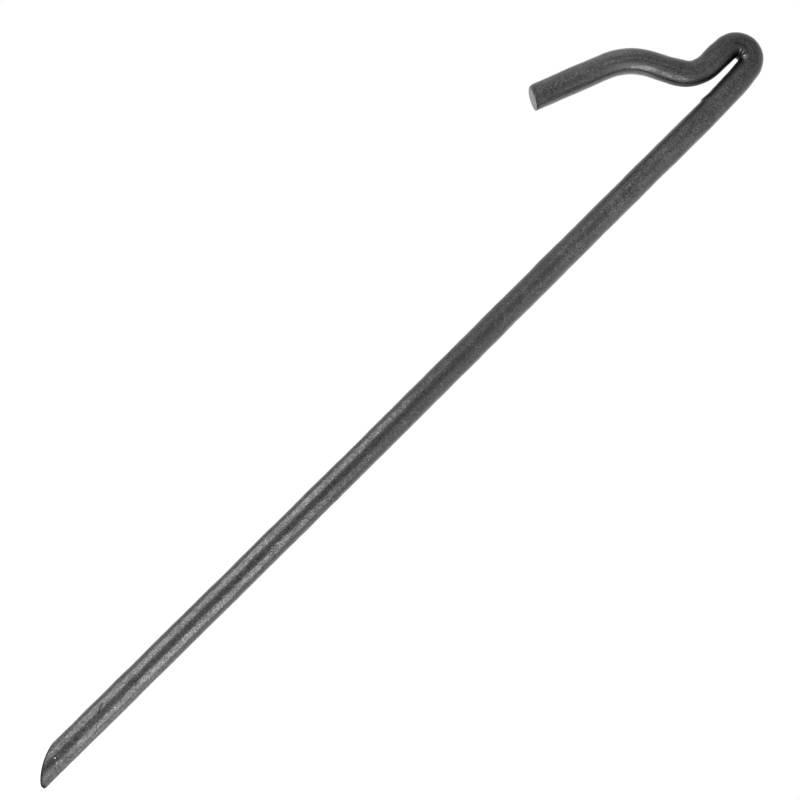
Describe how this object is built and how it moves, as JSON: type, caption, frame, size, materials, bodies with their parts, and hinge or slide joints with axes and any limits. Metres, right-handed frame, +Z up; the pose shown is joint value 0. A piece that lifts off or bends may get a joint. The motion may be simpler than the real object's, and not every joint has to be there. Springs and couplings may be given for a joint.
{
  "type": "tent stake",
  "caption": "Hooked ground peg bent from solid round steel bar, with a slant-cut point, for holding down tent loops and guy lines.",
  "frame": {"origin": "on the axis of the straight shank, at the ground line of the driven stake, 251 mm above the point", "axes": "+Z up along the straight shank, from the point to the bent head; the hook lies in the XZ plane and reaches out towards -X; +Y is square to the hook's plane"},
  "size_m": [0.048, 0.008, 0.311],
  "materials": {
    "oxide_steel": "thin dark grey-black oxide on hot-rolled steel, satin to dull with fine light speckle; the sheared toe face and the slant-cut point show greyer bare steel"
  },
  "bodies": {
    "root": {"bent_steel_bar": "oxide_steel"}
  },
  "joints": []
}
